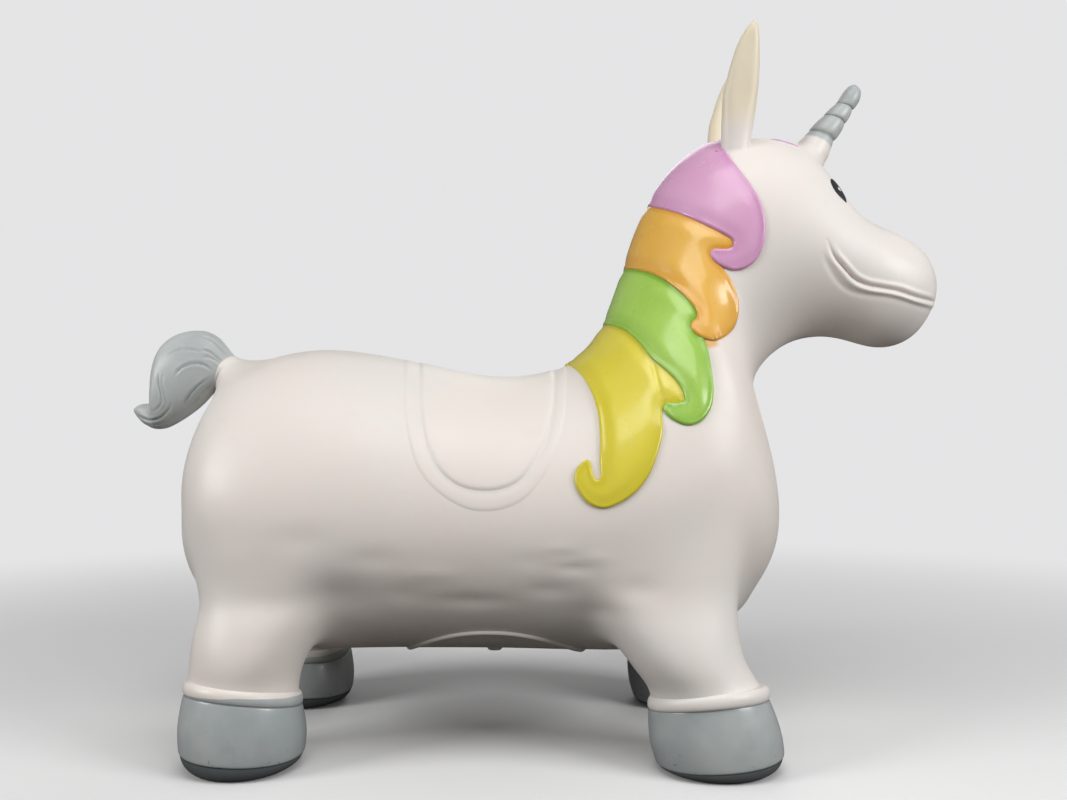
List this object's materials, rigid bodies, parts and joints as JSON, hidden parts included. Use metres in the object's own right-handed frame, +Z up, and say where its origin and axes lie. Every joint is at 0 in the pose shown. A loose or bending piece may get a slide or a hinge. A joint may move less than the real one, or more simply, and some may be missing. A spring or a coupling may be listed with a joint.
{
  "type": "bouncy ride on animal",
  "caption": "Inflatable soft-skin unicorn for a small child to sit on and bounce, with raised coloured mane locks, ears, horn, tail, hooves and a belly air valve.",
  "frame": {"origin": "on the floor under the middle of the box round the whole toy", "axes": "+Z up, +X towards the head, +Y to the animal's left"},
  "size_m": [0.5978, 0.2382, 0.5106],
  "materials": {
    "cream_skin": "satin",
    "ear_skin": "satin",
    "grey_paint": "satin",
    "pink_paint": "satin",
    "orange_paint": "satin",
    "green_paint": "satin",
    "yellow_paint": "satin",
    "charcoal_paint": "gloss"
  },
  "bodies": {
    "body": {"body_skin": "cream_skin", "mane_lock_pink": "pink_paint", "mane_lock_orange": "orange_paint", "mane_lock_green": "green_paint", "mane_lock_yellow": "yellow_paint", "forelock": "pink_paint", "saddle_seat": "cream_skin", "saddle_skirt": "cream_skin", "eye_left": "charcoal_paint", "eye_right": "charcoal_paint", "belly_panel": "cream_skin", "valve_sleeve": "cream_skin", "leg_rear_left": "cream_skin", "leg_rear_right": "cream_skin", "leg_front_left": "cream_skin", "leg_front_right": "cream_skin"},
    "foot_rear_left": {"cuff_rear_left": "cream_skin", "hoof_rear_left": "grey_paint"},
    "foot_rear_right": {"cuff_rear_right": "cream_skin", "hoof_rear_right": "grey_paint"},
    "foot_front_left": {"cuff_front_left": "cream_skin", "hoof_front_left": "grey_paint"},
    "foot_front_right": {"cuff_front_right": "cream_skin", "hoof_front_right": "grey_paint"},
    "ear_left": {"ear_left": "ear_skin"},
    "ear_right": {"ear_right": "ear_skin"},
    "horn": {"horn": "grey_paint"},
    "tail": {"tail": "grey_paint"},
    "air_plug": {"air_plug": "cream_skin"}
  },
  "joints": [
    {"name": "bounce_rear_left", "type": "slide", "parent": "body", "child": "foot_rear_left", "axis": [0, 0, 1], "range_m": [0, 0.01], "stiffness_N_per_m": 2500, "springref_m": -0.003, "deforming": ["leg_rear_left"]},
    {"name": "bounce_rear_right", "type": "slide", "parent": "body", "child": "foot_rear_right", "axis": [0, 0, 1], "range_m": [0, 0.01], "stiffness_N_per_m": 2500, "springref_m": -0.003, "deforming": ["leg_rear_right"]},
    {"name": "bounce_front_left", "type": "slide", "parent": "body", "child": "foot_front_left", "axis": [0, 0, 1], "range_m": [0, 0.01], "stiffness_N_per_m": 2500, "springref_m": -0.003, "deforming": ["leg_front_left"]},
    {"name": "bounce_front_right", "type": "slide", "parent": "body", "child": "foot_front_right", "axis": [0, 0, 1], "range_m": [0, 0.01], "stiffness_N_per_m": 2500, "springref_m": -0.003, "deforming": ["leg_front_right"]},
    {"name": "ear_left_flex", "type": "hinge", "parent": "body", "child": "ear_left", "pos_m": [0.14374, 0.03087, 0.42722], "axis": [0, 1, 0], "range_deg": [-15, 15], "stiffness_Nm_per_rad": 0.6},
    {"name": "ear_right_flex", "type": "hinge", "parent": "body", "child": "ear_right", "pos_m": [0.14374, -0.03087, 0.42722], "axis": [0, 1, 0], "range_deg": [-15, 15], "stiffness_Nm_per_rad": 0.6},
    {"name": "horn_flex", "type": "hinge", "parent": "body", "child": "horn", "pos_m": [0.20472, 0, 0.42123], "axis": [0, 1, 0], "range_deg": [-12, 12], "stiffness_Nm_per_rad": 0.8},
    {"name": "tail_wag", "type": "hinge", "parent": "body", "child": "tail", "pos_m": [-0.22705, 0, 0.26408], "axis": [0, 0, 1], "range_deg": [-18, 18], "stiffness_Nm_per_rad": 0.5},
    {"name": "air_plug_pull", "type": "slide", "parent": "body", "child": "air_plug", "axis": [0, 0, -1], "range_m": [0, 0.02]}
  ]
}
